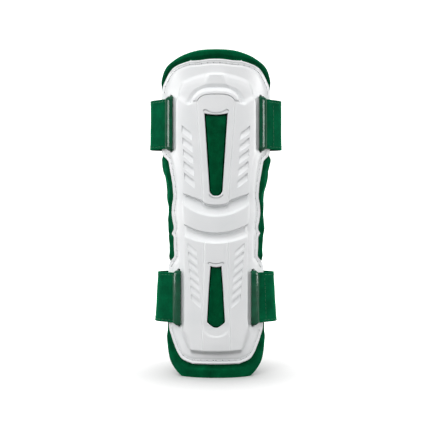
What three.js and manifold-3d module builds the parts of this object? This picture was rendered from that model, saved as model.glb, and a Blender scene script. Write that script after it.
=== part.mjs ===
// Arm guard: a moulded white shell over a curved foam pad, held on by two elastic straps.
// It stands on the pad's lower end. +Z is up, the shell faces -Y, and lengths are millimetres.
// Everything is drawn flat first, as u (along the bend), z (up) and h (out from the bend),
// and then bent around the arm.

import * as THREE from "three";
import { mergeVertices } from "three/addons/utils/BufferGeometryUtils.js";
import Module from "manifold-3d";

const wasm = await Module();
wasm.setup();

// Overall sizes
const guardLength = 287;
const bendRadius = 64; // of the surface where the shell's flange lies on the pad
const clearance = 0.35; // left between pieces that touch

// Pad
const padThickness = 12;
const padHalfWidth = 56.3;
const padEdgeRounding = 3.5;

// Shell
const shellFootInset = 12; // from the pad's foot to the shell's foot
const shellCrownInset = 8;
const shellWall = 2.4;
const upperWingHalfWidth = 53.1;
const lowerWingHalfWidth = 44.8;
const panelRise = 6; // of the centre panel over the flange
const plateRiseShare = 0.83; // of panelRise, for the plates beside the panel
const capRiseShare = 0.45; // of panelRise, for the cap above the upper plate
const panelHalfWidth = 14.4;
const panelWallRun = 2;
const plateWallRun = 1.6;

// Windows and the inlays that fill them
const upperWindowHalfWidth = 9.2;
const lowerWindowHalfWidth = 7.1;
const inlayRecess = 1.3;
const narrowestHalfWidth = 0.3;

// Ribs pressed into the plates. inset: from the plate's edge. topAt: share of shellLength.
// drift: how far each rib stands further in than the one above it.
const upperRibs = { count: 5, pitch: 10.4, height: 5.6, inset: 5.2, topAt: 0.782, drift: 0.55 };
const lowerRibs = { count: 7, pitch: 7.4, height: 4.2, inset: 2.9, topAt: 0.397, drift: 0.5 };
const ribFall = 7; // from a rib's outer end down to its inner end
const ribWidth = 8.4;
const ribDepth = 1.1;

// Arched groove in the cap over the panel's crown
const archGrooveWidth = 3.2;
const archGrooveDepth = 1.2;
const archHalfWidth = 1.5 * panelHalfWidth;
const archCrownAt = 0.916; // share of shellLength, and so is the next
const archSpringAt = 0.868;
const archSquareness = 0.7; // 1 is an ellipse, and less is squarer
const archSteps = 12;

// Straps, their slots and their bars
const strapWidth = 44.4;
const strapThickness = 1.8;
const strapBow = 1.6; // of the stretch behind the arm
const barOverhang = 2; // past each edge of the strap
const strapSlotTurn = 1.5; // radius of the strap's turn out of its slot
const barWidth = 7;
const barHeight = 4.6;
const barEndFoot = 1.3;
const barChamfer = 1.5;
const barChamferFall = 0.7; // share of the chamfer's width
const slotOverrun = 1.2; // past each end of the bar
const slotPlay = 0.7; // each side of the strap

const upperStrap = {
  at: 0.793,
  wing: upperWingHalfWidth,
  inset: 12,
  barToPlate: 2.8,
  reachFoot: 60.1,
  reachTop: 59.7,
  turn: 9,
};
const lowerStrap = {
  at: 0.215,
  wing: lowerWingHalfWidth,
  inset: 11.75,
  barToPlate: 2.05,
  reachFoot: 55.2,
  reachTop: 52.6,
  turn: 12,
};

const shellLength = guardLength - shellFootInset - shellCrownInset;
const flangeWidthFor = (strap) => {
  return strap.inset + barWidth / 2 + clearance + strap.barToPlate + plateWallRun;
};
const upperPlateHalfWidth = upperWingHalfWidth - flangeWidthFor(upperStrap);
const lowerPlateHalfWidth = lowerWingHalfWidth - flangeWidthFor(lowerStrap);
const panelTop = shellWall + panelRise;
const barLength = strapWidth + 2 * barOverhang;
const padFront = -clearance;
const padBack = padFront - padThickness;
const outsideAll = 2 * panelTop; // height that every cutter reaches past the shell

// Pad outline. at: share of guardLength. half: share of padHalfWidth.
const padOutline = [
  { at: 0, half: 0.5 },
  { at: 0.005, half: 0.56 },
  { at: 0.012, half: 0.61 },
  { at: 0.025, half: 0.665 },
  { at: 0.045, half: 0.73 },
  { at: 0.07, half: 0.77 },
  { at: 0.095, half: 0.795 },
  { at: 0.14, half: 0.828 },
  { at: 0.23, half: 0.838 },
  { at: 0.325, half: 0.835 },
  { at: 0.345, half: 0.795 },
  { at: 0.365, half: 0.772 },
  { at: 0.405, half: 0.793 },
  { at: 0.455, half: 0.805 },
  { at: 0.497, half: 0.836 },
  { at: 0.542, half: 0.84 },
  { at: 0.592, half: 0.886 },
  { at: 0.63, half: 0.934 },
  { at: 0.675, half: 0.985 },
  { at: 0.79, half: 1 },
  { at: 0.895, half: 0.995 },
  { at: 0.92, half: 0.96 },
  { at: 0.943, half: 0.91 },
  { at: 0.955, half: 0.862 },
  { at: 0.966, half: 0.794 },
  { at: 0.976, half: 0.69 },
  { at: 0.986, half: 0.576 },
  { at: 0.995, half: 0.4 },
  { at: 1, half: 0.24 },
];

// Shell sections from foot to crown.
// side, mid: height at the plate's edge and at the centre, as shares of shellLength.
// edge, plate, panel: half widths, as shares of the wing's, the plate's and the panel's.
// rise, crest: heights of plate and panel over the flange, as shares of panelRise.
const lowerSections = [
  { side: 0, mid: 0, edge: 0.46, plate: 0.62, panel: 0.7, rise: 0, crest: 0 },
  { side: 0.004, mid: 0.004, edge: 0.585, plate: 0.72, panel: 0.7, rise: 0, crest: 0 },
  { side: 0.015, mid: 0.015, edge: 0.7, plate: 0.79, panel: 0.71, rise: 0, crest: 0 },
  { side: 0.036, mid: 0.034, edge: 0.79, plate: 0.82, panel: 0.72, rise: 0, crest: 0 },
  { side: 0.053, mid: 0.05, edge: 0.845, plate: 0.82, panel: 0.73, rise: 0.83, crest: 0.95 },
  { side: 0.072, mid: 0.07, edge: 0.893, plate: 0.92, panel: 0.725, rise: 0.83, crest: 1 },
  { side: 0.089, mid: 0.089, edge: 0.93, plate: 0.98, panel: 0.72, rise: 0.83, crest: 1 },
  { side: 0.106, mid: 0.106, edge: 0.975, plate: 1, panel: 0.71, rise: 0.83, crest: 1 },
  { side: 0.127, mid: 0.127, edge: 0.993, plate: 1, panel: 0.7, rise: 0.83, crest: 1 },
  { side: 0.217, mid: 0.217, edge: 1, plate: 1, panel: 0.66, rise: 0.83, crest: 1 },
  { side: 0.31, mid: 0.307, edge: 1, plate: 1, panel: 0.62, rise: 0.83, crest: 1 },
  { side: 0.331, mid: 0.327, edge: 0.98, plate: 1, panel: 0.61, rise: 0.83, crest: 1 },
  { side: 0.35, mid: 0.345, edge: 0.85, plate: 1, panel: 0.6, rise: 0.83, crest: 1 },
  { side: 0.389, mid: 0.374, edge: 0.868, plate: 1, panel: 0.59, rise: 0.83, crest: 1 },
  { side: 0.42, mid: 0.398, edge: 0.864, plate: 1, panel: 0.58, rise: 0.83, crest: 1 },
];
const elbowSections = [
  { side: 0.433, mid: 0.411, edge: 0.735, plate: 0.77, panel: 0.58, rise: 0.5, crest: 0.5 },
  { side: 0.453, mid: 0.425, edge: 0.727, plate: 0.79, panel: 0.58, rise: 0.25, crest: 0.1 },
  { side: 0.459, mid: 0.43, edge: 0.745, plate: 0.8, panel: 0.58, rise: 0.8, crest: 0.86 },
  { side: 0.494, mid: 0.459, edge: 0.776, plate: 0.82, panel: 0.59, rise: 0.82, crest: 0.88 },
  { side: 0.524, mid: 0.485, edge: 0.765, plate: 0.83, panel: 0.61, rise: 0.8, crest: 0.86 },
  { side: 0.541, mid: 0.506, edge: 0.742, plate: 0.83, panel: 0.62, rise: 0.5, crest: 0.4 },
  { side: 0.554, mid: 0.515, edge: 0.738, plate: 0.83, panel: 0.63, rise: 0.36, crest: 0.1 },
];
const upperSections = [
  { side: 0.563, mid: 0.523, edge: 0.742, plate: 0.83, panel: 0.64, rise: 0.83, crest: 1 },
  { side: 0.594, mid: 0.575, edge: 0.76, plate: 0.84, panel: 0.68, rise: 0.83, crest: 1 },
  { side: 0.63, mid: 0.625, edge: 0.8, plate: 0.87, panel: 0.72, rise: 0.83, crest: 1 },
  { side: 0.67, mid: 0.67, edge: 0.845, plate: 0.93, panel: 0.77, rise: 0.83, crest: 1 },
  { side: 0.692, mid: 0.692, edge: 1, plate: 1, panel: 0.8, rise: 0.83, crest: 1 },
  { side: 0.785, mid: 0.785, edge: 1, plate: 1, panel: 0.92, rise: 0.83, crest: 1 },
  { side: 0.86, mid: 0.86, edge: 1, plate: 1, panel: 1, rise: 0.83, crest: 1 },
  { side: 0.871, mid: 0.871, edge: 1, plate: 0.98, panel: 1, rise: 0.45, crest: 1 },
  { side: 0.883, mid: 0.886, edge: 1, plate: 0.96, panel: 0.8, rise: 0.43, crest: 1 },
  { side: 0.893, mid: 0.903, edge: 1, plate: 0.94, panel: 0.8, rise: 0.43, crest: 0.48 },
  { side: 0.907, mid: 0.925, edge: 0.998, plate: 0.91, panel: 0.78, rise: 0.4, crest: 0.46 },
  { side: 0.92, mid: 0.94, edge: 0.98, plate: 0.87, panel: 0.76, rise: 0.34, crest: 0.42 },
  { side: 0.933, mid: 0.954, edge: 0.94, plate: 0.84, panel: 0.74, rise: 0, crest: 0 },
  { side: 0.947, mid: 0.965, edge: 0.89, plate: 0.8, panel: 0.72, rise: 0, crest: 0 },
  { side: 0.963, mid: 0.976, edge: 0.83, plate: 0.74, panel: 0.7, rise: 0, crest: 0 },
  { side: 0.979, mid: 0.987, edge: 0.745, plate: 0.64, panel: 0.66, rise: 0, crest: 0 },
  { side: 0.99, mid: 0.996, edge: 0.6, plate: 0.52, panel: 0.6, rise: 0, crest: 0 },
  { side: 0.996, mid: 1, edge: 0.43, plate: 0.42, panel: 0.5, rise: 0, crest: 0 },
];

// Windows. at: share of shellLength. half: share of the window's half width.
// sag: how far the middle of the row hangs down, as a share of the half width.
const upperWindow = [
  { at: 0.551, half: 0.16, sag: 0 },
  { at: 0.555, half: 0.36, sag: 0 },
  { at: 0.561, half: 0.5, sag: 0 },
  { at: 0.57, half: 0.56, sag: 0 },
  { at: 0.69, half: 0.77, sag: 0 },
  { at: 0.819, half: 1, sag: 0.14 },
];
const lowerWindow = [
  { at: 0.122, half: 0.14, sag: 0 },
  { at: 0.128, half: 0.5, sag: 0 },
  { at: 0.14, half: 1, sag: 0 },
  { at: 0.235, half: 0.82, sag: 0 },
  { at: 0.323, half: 0.61, sag: 0.14 },
];

// Ends of a bar. along: share of barOverhang. width, top: shares of barWidth and barHeight.
// foot: whether the bar stands on the flange there, or passes over the strap.
const barEnd = [
  { along: 0, width: 0.5, top: 0.6, foot: true },
  { along: barEndFoot / barOverhang, width: 0.85, top: 0.9, foot: true },
  { along: 1 - clearance / barOverhang, width: 0.92, top: 0.94, foot: false },
  { along: 2, width: 1, top: 1, foot: false },
];

const columnShares = [-1, -0.75, -0.5, -0.25, 0, 0.25, 0.5, 0.75, 1];

function bend(u, z, h) {
  const angle = u / bendRadius;
  const radius = bendRadius + h;
  return new THREE.Vector3(radius * Math.sin(angle), bendRadius - radius * Math.cos(angle), z);
}

function shellHeight(share) {
  return shellFootInset + share * shellLength;
}

// A closed body from rows of points, each row with a front and a back of the same length.
function sheetBody(rows) {
  const columns = rows[0].front.length;
  const points = [];
  for (const row of rows) points.push(...row.front);
  for (const row of rows) points.push(...row.back);
  const front = (row, column) => row * columns + column;
  const back = (row, column) => (rows.length + row) * columns + column;
  const faces = [];
  const quad = (a, b, c, d) => faces.push(a, b, c, a, c, d);
  for (let row = 0; row + 1 < rows.length; row += 1) {
    for (let column = 0; column + 1 < columns; column += 1) {
      const next = column + 1;
      quad(front(row, column), front(row, next), front(row + 1, next), front(row + 1, column));
      quad(back(row, column), back(row + 1, column), back(row + 1, next), back(row, next));
    }
    const last = columns - 1;
    quad(back(row, 0), front(row, 0), front(row + 1, 0), back(row + 1, 0));
    quad(front(row, last), back(row, last), back(row + 1, last), front(row + 1, last));
  }
  const top = rows.length - 1;
  for (let column = 0; column + 1 < columns; column += 1) {
    const next = column + 1;
    quad(back(0, column), back(0, next), front(0, next), front(0, column));
    quad(front(top, column), front(top, next), back(top, next), back(top, column));
  }
  const geometry = new THREE.BufferGeometry().setFromPoints(points);
  geometry.setIndex(faces);
  return geometry;
}

function toSolid(geometry) {
  const bare = geometry.clone();
  bare.deleteAttribute("normal");
  bare.deleteAttribute("uv");
  const weldDistance = 1e-5;
  const merged = mergeVertices(bare, weldDistance);
  const mesh = new wasm.Mesh({
    numProp: 3,
    vertProperties: new Float32Array(merged.attributes.position.array),
    triVerts: new Uint32Array(merged.index.array),
  });
  return new wasm.Manifold(mesh);
}

function toGeometry(solid) {
  const mesh = solid.getMesh();
  const geometry = new THREE.BufferGeometry();
  geometry.setAttribute("position", new THREE.BufferAttribute(mesh.vertProperties, 3));
  geometry.setIndex(new THREE.BufferAttribute(mesh.triVerts, 1));
  return geometry;
}

// A flat outline in u and z, given a thickness in h and bent around the arm.
function bentPrism(outline, low, high) {
  const shape = new THREE.Shape(outline.map(([u, z]) => new THREE.Vector2(u, z)));
  const geometry = new THREE.ExtrudeGeometry(shape, { depth: high - low, bevelEnabled: false });
  const position = geometry.attributes.position;
  for (let i = 0; i < position.count; i += 1) {
    const place = bend(position.getX(i), position.getY(i), low + position.getZ(i));
    position.setXYZ(i, place.x, place.y, place.z);
  }
  return geometry;
}

function padBody() {
  const edgeSteps = 4;
  const edgeAngles = Array.from({ length: edgeSteps + 1 }, (_, i) => (Math.PI / 2 / edgeSteps) * i);
  const inward = edgeAngles.map((angle) => 1 - Math.cos(angle));
  const rounded = edgeAngles.map((angle) => 1 - Math.sin(angle));
  const crownStart = 0.985; // share of guardLength above which the pad gets thinner
  const rows = padOutline.map(({ at, half }) => {
    const halfWidth = half * padHalfWidth;
    const z = at * guardLength;
    const crownPinch = Math.max(0, at - crownStart) / (1 - crownStart);
    const front = [];
    const back = [];
    const column = (u, pinch) => {
      const inset = padEdgeRounding * Math.max(pinch, crownPinch * crownPinch);
      front.push(bend(u, z, padFront - inset));
      back.push(bend(u, z, padBack + inset));
    };
    inward.forEach((share, i) => column(-halfWidth + share * padEdgeRounding, rounded[i]));
    const flat = halfWidth - padEdgeRounding;
    for (const share of columnShares.slice(1, -1)) column(share * flat, 0);
    for (let i = inward.length - 1; i >= 0; i -= 1) {
      column(halfWidth - inward[i] * padEdgeRounding, rounded[i]);
    }
    return { front, back };
  });
  return sheetBody(rows);
}

// One shell section as points across it, from its left edge to its right edge.
function shellPoints(section, wingHalfWidth, plateHalfWidth) {
  const edge = section.edge * wingHalfWidth;
  const shoulder = Math.min(section.plate * plateHalfWidth, edge - 2 * plateWallRun);
  const foot = shoulder + plateWallRun;
  const panel = section.panel * panelHalfWidth;
  const panelFoot = panel + panelWallRun;
  const plateH = shellWall + section.rise * panelRise;
  const crestH = shellWall + section.crest * panelRise;
  const half = [
    { u: panel / 2, h: crestH },
    { u: panel, h: crestH },
    { u: panelFoot, h: plateH },
    { u: (panelFoot + shoulder) / 2, h: plateH },
    { u: shoulder, h: plateH },
    { u: foot, h: shellWall },
    { u: (foot + edge) / 2, h: shellWall },
    { u: edge, h: shellWall },
  ];
  const mirrored = half.map(({ u, h }) => ({ u: -u, h })).reverse();
  return [...mirrored, { u: 0, h: crestH }, ...half].map(({ u, h }) => {
    const toSide = Math.min(1, Math.abs(u) / shoulder) ** 2;
    const share = section.mid + (section.side - section.mid) * toSide;
    return bend(u, shellHeight(share), h);
  });
}

// The inner face of a wall: each point of the outer face moved in along the mean normal of
// the faces around it, far enough that the wall keeps its thickness on slopes.
function innerFace(rows, wall) {
  const leastCosine = 0.87; // keeps the inner face off the pad in sharp corners
  const normals = rows.slice(1).map((row, r) =>
    row.slice(1).map((point, c) => {
      const across = new THREE.Vector3().subVectors(point, rows[r][c]);
      const other = new THREE.Vector3().subVectors(row[c], rows[r][c + 1]);
      return new THREE.Vector3().crossVectors(across, other).normalize();
    }),
  );
  return rows.map((row, r) =>
    row.map((point, c) => {
      const around = [];
      for (const i of [r - 1, r]) {
        for (const j of [c - 1, c]) {
          if (normals[i] && normals[i][j]) around.push(normals[i][j]);
        }
      }
      const mean = new THREE.Vector3();
      for (const normal of around) mean.add(normal);
      mean.normalize();
      const least = Math.min(...around.map((normal) => normal.dot(mean)));
      return point.clone().addScaledVector(mean, -wall / Math.max(least, leastCosine));
    }),
  );
}

function shellLoft() {
  const outer = [
    ...lowerSections.map((s) => shellPoints(s, lowerWingHalfWidth, lowerPlateHalfWidth)),
    ...elbowSections.map((s) => shellPoints(s, upperWingHalfWidth, upperPlateHalfWidth)),
    ...upperSections.map((s) => shellPoints(s, upperWingHalfWidth, upperPlateHalfWidth)),
  ];
  const inner = innerFace(outer, shellWall);
  return sheetBody(outer.map((front, r) => ({ front, back: inner[r] })));
}

function windowBody(table, fullHalfWidth, shrink, low, high) {
  const last = table.length - 1;
  const rows = table.map(({ at, half, sag }, i) => {
    const halfWidth = Math.max(half * fullHalfWidth - shrink, narrowestHalfWidth);
    const inset = i === 0 ? shrink : i === last ? -shrink : 0;
    const height = (share) => {
      return shellHeight(at) + inset - sag * fullHalfWidth * (1 - share * share);
    };
    const place = (h) => columnShares.map((share) => bend(share * halfWidth, height(share), h));
    return { front: place(high), back: place(low) };
  });
  return sheetBody(rows);
}

// Ribs fall towards the centre, in a column beside the centre panel.
function ribOutlines({ count, pitch, height, inset, topAt, drift }, plateHalfWidth) {
  return Array.from({ length: count }, (_, i) => {
    const outer = plateHalfWidth - inset - i * drift;
    const inner = outer - ribWidth;
    const top = shellHeight(topAt) - i * pitch;
    return [
      [outer, top],
      [outer, top - height],
      [inner, top - height - ribFall],
      [inner, top - ribFall],
    ];
  });
}

function archOutline() {
  const crown = shellHeight(archCrownAt);
  const spring = shellHeight(archSpringAt);
  const arc = (inset) =>
    Array.from({ length: archSteps + 1 }, (_, i) => {
      const angle = (Math.PI * i) / archSteps;
      const across = Math.sign(Math.cos(angle)) * Math.abs(Math.cos(angle)) ** archSquareness;
      const up = Math.abs(Math.sin(angle)) ** archSquareness;
      return [across * (archHalfWidth - inset), spring + (crown - spring - inset) * up];
    });
  return [...arc(0), ...arc(archGrooveWidth).reverse()];
}

function slotBody(strap, side) {
  const mid = side * (strap.wing - strap.inset);
  const halfWidth = strapThickness / 2 + slotPlay;
  const centre = shellHeight(strap.at);
  const halfLength = barLength / 2 + slotOverrun;
  const outline = [
    [mid - halfWidth, centre - halfLength],
    [mid + halfWidth, centre - halfLength],
    [mid + halfWidth, centre + halfLength],
    [mid - halfWidth, centre + halfLength],
  ];
  return bentPrism(outline, -shellWall, outsideAll);
}

function shellBody() {
  let solid = toSolid(shellLoft());
  const cut = (geometry) => {
    solid = solid.subtract(toSolid(geometry));
  };
  cut(windowBody(upperWindow, upperWindowHalfWidth, 0, -shellWall, outsideAll));
  cut(windowBody(lowerWindow, lowerWindowHalfWidth, 0, -shellWall, outsideAll));
  for (const strap of [upperStrap, lowerStrap]) {
    for (const side of [-1, 1]) cut(slotBody(strap, side));
  }
  const plateTop = shellWall + plateRiseShare * panelRise;
  const ribs = [
    ...ribOutlines(upperRibs, upperPlateHalfWidth),
    ...ribOutlines(lowerRibs, lowerPlateHalfWidth),
  ];
  for (const outline of ribs) {
    cut(bentPrism(outline, plateTop - ribDepth, outsideAll));
    const mirrored = outline.map(([u, z]) => [-u, z]).reverse();
    cut(bentPrism(mirrored, plateTop - ribDepth, outsideAll));
  }
  const capTop = shellWall + capRiseShare * panelRise;
  cut(bentPrism(archOutline(), capTop - archGrooveDepth, outsideAll));
  return toGeometry(solid);
}

// An inlay stands on the pad and ends a little below the panel's face.
function inlayBody(table, fullHalfWidth) {
  return windowBody(table, fullHalfWidth, clearance, 0, panelTop - inlayRecess);
}

// A bar lies over its slot. Its two ends stand on the flange and the strap runs under it.
function barBody(strap, side) {
  const mid = side * (strap.wing - strap.inset);
  const seat = shellWall + clearance;
  const bridge = seat + strapThickness + clearance;
  const start = shellHeight(strap.at) - barLength / 2;
  const half = barEnd.map(({ along, width, top, foot }) => {
    const low = foot ? seat : bridge;
    return { along: along * barOverhang, width, low, high: seat + top * barHeight };
  });
  const otherHalf = half.map((s) => ({ ...s, along: barLength - s.along })).reverse();
  const rows = [...half, ...otherHalf].map(({ along, width, low, high }) => {
    const halfWidth = (width * barWidth) / 2;
    const flat = halfWidth - barChamfer * width;
    const z = start + along;
    const across = [-halfWidth, -flat, flat, halfWidth];
    const drop = [barChamfer * width, 0, 0, barChamfer * width];
    return {
      front: across.map((u, i) => bend(mid + u, z, high - drop[i] * barChamferFall)),
      back: across.map((u) => bend(mid + u, z, low)),
    };
  });
  return sheetBody(rows);
}

// Half of a strap's middle line, seen from above: up through the slot, under the bar, out past
// the wing, round the turn and across behind the arm to the centre.
function strapLine(strap, reach) {
  const slotU = strap.wing - strap.inset;
  const lie = shellWall + clearance + strapThickness / 2;
  const flat = (u, h) => {
    const place = bend(u, 0, h);
    return new THREE.Vector2(place.x, place.y);
  };
  const leave = slotU + barWidth / 2 + clearance;
  const turned = slotU + strapSlotTurn;
  const line = [flat(slotU, 0)];
  for (const angle of [0, Math.PI / 4, Math.PI / 2]) {
    const across = strapSlotTurn * (1 - Math.cos(angle));
    line.push(flat(slotU + across, lie - strapSlotTurn * (1 - Math.sin(angle))));
  }
  line.push(flat((turned + leave) / 2, lie), flat(leave, lie));
  const slope = leave / bendRadius;
  const radius = strap.turn - strapThickness / 2;
  const centreX = reach - strap.turn;
  const start = line[line.length - 1];
  const touchX = centreX + radius * Math.sin(slope);
  const touchY = start.y + (touchX - start.x) * Math.tan(slope);
  const centreY = touchY + radius * Math.cos(slope);
  const turnSteps = 8;
  for (let i = 0; i <= turnSteps; i += 1) {
    const angle = slope - Math.PI / 2 + ((Math.PI - slope) * i) / turnSteps;
    const x = centreX + radius * Math.cos(angle);
    line.push(new THREE.Vector2(x, centreY + radius * Math.sin(angle)));
  }
  for (const share of [0.75, 0.5, 0.25, 0]) {
    const bow = strapBow * (1 - share * share);
    line.push(new THREE.Vector2(centreX * share, centreY + radius + bow));
  }
  return line;
}

function strapBody(strap) {
  const middle = shellHeight(strap.at);
  const ends = [
    { z: middle - strapWidth / 2, reach: strap.reachFoot },
    { z: middle + strapWidth / 2, reach: strap.reachTop },
  ];
  const rows = ends.map(({ z, reach }) => {
    const right = strapLine(strap, reach);
    const left = right.slice(0, -1).map(({ x, y }) => new THREE.Vector2(-x, y));
    const line = [...left, ...right.reverse()];
    const front = [];
    const back = [];
    line.forEach((point, i) => {
      const before = line[Math.max(i - 1, 0)];
      const after = line[Math.min(i + 1, line.length - 1)];
      const along = after.clone().sub(before).normalize();
      const out = new THREE.Vector2(-along.y, along.x).multiplyScalar(strapThickness / 2);
      front.push(new THREE.Vector3(point.x - out.x, point.y - out.y, z));
      back.push(new THREE.Vector3(point.x + out.x, point.y + out.y, z));
    });
    return { front, back };
  });
  return sheetBody(rows);
}

const moulded = { color: 0xf2f3f4, roughness: 0.4, metalness: 0 };
const velour = { color: 0x00603a, roughness: 0.9, metalness: 0 };
const glossyBar = { color: 0x1e5a44, roughness: 0.25, metalness: 0 };

const guard = new THREE.Group();

function addPiece(name, geometry, finish) {
  const mesh = new THREE.Mesh(geometry, new THREE.MeshStandardMaterial(finish));
  mesh.name = name;
  guard.add(mesh);
}

addPiece("pad", padBody(), velour);
addPiece("shell", shellBody(), moulded);
addPiece("upper_inlay", inlayBody(upperWindow, upperWindowHalfWidth), velour);
addPiece("lower_inlay", inlayBody(lowerWindow, lowerWindowHalfWidth), velour);
addPiece("upper_left_bar", barBody(upperStrap, -1), glossyBar);
addPiece("upper_right_bar", barBody(upperStrap, 1), glossyBar);
addPiece("lower_left_bar", barBody(lowerStrap, -1), glossyBar);
addPiece("lower_right_bar", barBody(lowerStrap, 1), glossyBar);
addPiece("upper_strap", strapBody(upperStrap), velour);
addPiece("lower_strap", strapBody(lowerStrap), velour);

// The origin is under the middle of the guard's box, on the surface that it stands on.
const middle = new THREE.Box3().setFromObject(guard).getCenter(new THREE.Vector3());
guard.position.y = -middle.y;

export default guard;
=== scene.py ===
import bisect
import math

import bpy
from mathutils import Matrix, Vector, kdtree, noise


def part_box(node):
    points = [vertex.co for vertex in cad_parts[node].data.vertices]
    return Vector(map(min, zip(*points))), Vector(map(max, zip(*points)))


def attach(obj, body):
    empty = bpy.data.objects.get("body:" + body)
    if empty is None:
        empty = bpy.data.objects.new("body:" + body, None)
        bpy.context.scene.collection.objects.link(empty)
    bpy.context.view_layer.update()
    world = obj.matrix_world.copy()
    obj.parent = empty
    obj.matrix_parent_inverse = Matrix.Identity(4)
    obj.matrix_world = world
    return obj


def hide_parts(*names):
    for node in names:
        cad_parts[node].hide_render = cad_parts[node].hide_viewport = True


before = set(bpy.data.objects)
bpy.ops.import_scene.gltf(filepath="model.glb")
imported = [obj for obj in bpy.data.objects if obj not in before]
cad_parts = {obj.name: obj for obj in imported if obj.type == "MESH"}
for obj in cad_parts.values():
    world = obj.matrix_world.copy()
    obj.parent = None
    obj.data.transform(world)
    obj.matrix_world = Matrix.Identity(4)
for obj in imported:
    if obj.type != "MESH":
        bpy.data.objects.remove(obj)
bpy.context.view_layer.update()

# Arm guard: a moulded shell over a velour-covered foam pad, with two elastic straps.
# Sizes are millimetres. A place on the guard is u (along the bend around the arm), z (up) and
# h (out from the bend), and bend() takes it to metres in the guard's frame.
MM = 0.001
BEND_RADIUS = 64
CLEARANCE = 0.35
PAD_THICKNESS = 12
PAD_HALF_WIDTH = 56.3
SHELL_WALL = 2.4
UPPER_WING = 53.1
LOWER_WING = 44.8
UPPER_PLATE = 32.85
LOWER_PLATE = 25.55
PANEL_RISE = 6
PANEL_HALF_WIDTH = 14.4
PANEL_WALL_RUN = 2
PLATE_WALL_RUN = 1.6
PLATE_RISE = 0.83  # share of PANEL_RISE
CAP_DROP = 0.46  # share of the plate's rise that the cap above it lies lower
CAP_FOOT = 230  # height under which no cap lies
ARCH_FOOT = 238  # height under which the arch over the panel's crown doesn't reach
CROWN_HALF_WIDTH = 15  # of the panel's crown, with the line round it
PANEL_LINE = {"depth": 0.8, "away": 0.75, "width": 0.42}  # fine line beside the panel's wall
TONGUE_TOP = 5.55
HEM_GROOVE = 0.6  # depth of the flange's stitched groove
EDGE_ROLL = 0.9  # radius of the flange's rounded edge
UPPER_WINDOW = 9.2
LOWER_WINDOW = 7.1
STRAP_THICKNESS = 1.8
BAR_WIDTH = 7
BAR_HEIGHT = 4.6
BAR_TO_SLOT_END = 1.2
STITCH_PITCH = 5.2
STITCH_INSET = 3.2
STITCH_STOP = 5  # from a strap's edge, where a run of the flange's stitches ends
HEM_INSET = 2.1
STRAP_STITCH = (2.3, 1.4)  # length of a stitch and of the gap after it
STRAP_BOW = 1.6  # of the stretch behind the arm
SWELL_FRAMES = 20
PANEL_TOP = SHELL_WALL + PANEL_RISE
PLATE_TOP = SHELL_WALL + PLATE_RISE * PANEL_RISE

guard_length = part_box("pad")[1].z / MM
shell_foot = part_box("shell")[0].z / MM
shell_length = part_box("shell")[1].z / MM - shell_foot
bend_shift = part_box("pad")[0].y / MM - CLEARANCE

# slot: its u. turn: outer radius of the strap's bend. seam: x of the lap's edge, on the front.
STRAPS = {
    "upper": {"slot": UPPER_WING - 12, "turn": 9, "seam": 48.4, "seam_depth": 6},
    "lower": {"slot": LOWER_WING - 11.75, "turn": 12, "seam": 43.4, "seam_depth": 3},
}

# Pad outline: share of the length, share of the half width
PAD_OUTLINE = [
    (0, 0.5), (0.005, 0.56), (0.012, 0.61), (0.025, 0.665), (0.045, 0.73), (0.07, 0.77),
    (0.095, 0.795), (0.14, 0.828), (0.23, 0.838), (0.325, 0.835), (0.345, 0.795),
    (0.365, 0.772), (0.405, 0.793), (0.455, 0.805), (0.497, 0.836), (0.542, 0.84),
    (0.592, 0.886), (0.63, 0.934), (0.675, 0.985), (0.79, 1), (0.895, 0.995), (0.92, 0.96),
    (0.943, 0.91), (0.955, 0.862), (0.966, 0.794), (0.976, 0.69), (0.986, 0.576),
    (0.995, 0.4), (1, 0.24),
]

# Shell sections from foot to crown. side, mid: height at the plate's edge and at the centre,
# as shares of the shell's length. edge, plate, panel: half widths, as shares of the wing's, the
# plate's and the panel's. rise, crest: heights of plate and panel, as shares of PANEL_RISE.
# run: width of the wall between plate and flange, in mm. tab: 1 where the row steps down at
# the panel, and 0 where it is one arc.
SECTION = ("side", "mid", "edge", "plate", "panel", "rise", "crest", "run", "tab")
LOWER_SECTIONS = [
    (0, 0, 0.46, 0.62, 0.7, 0, 0, 1.6, 0),
    (0.004, 0.004, 0.585, 0.72, 0.7, 0, 0, 1.6, 0),
    (0.015, 0.015, 0.7, 0.79, 0.71, 0, 0, 1.6, 0),
    (0.036, 0.034, 0.79, 0.8, 0.72, 0, 0, 2.6, 0),
    (0.048, 0.045, 0.825, 0.82, 0.73, 0.83, 0.95, 4, 0),
    (0.072, 0.07, 0.893, 0.92, 0.725, 0.83, 1, 6.5, 0),
    (0.089, 0.089, 0.93, 0.99, 0.72, 0.83, 1, 8, 0),
    (0.106, 0.106, 0.975, 1.05, 0.71, 0.83, 1, 7, 0),
    (0.127, 0.127, 0.993, 1.05, 0.7, 0.83, 1, 3.5, 0),
    (0.14, 0.14, 1, 1, 0.695, 0.83, 1, 1.6, 0),
    (0.217, 0.217, 1, 1, 0.66, 0.83, 1, 1.6, 0),
    (0.31, 0.307, 1, 1, 0.62, 0.83, 1, 1.6, 0),
    (0.331, 0.327, 0.98, 1, 0.61, 0.83, 1, 1.6, 0),
    (0.35, 0.345, 0.85, 1, 0.6, 0.83, 1, 1.6, 0),
    (0.389, 0.374, 0.868, 1, 0.59, 0.83, 1, 1.6, 0),
    (0.42, 0.398, 0.864, 1, 0.58, 0.83, 1, 1.6, 0),
]
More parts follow.
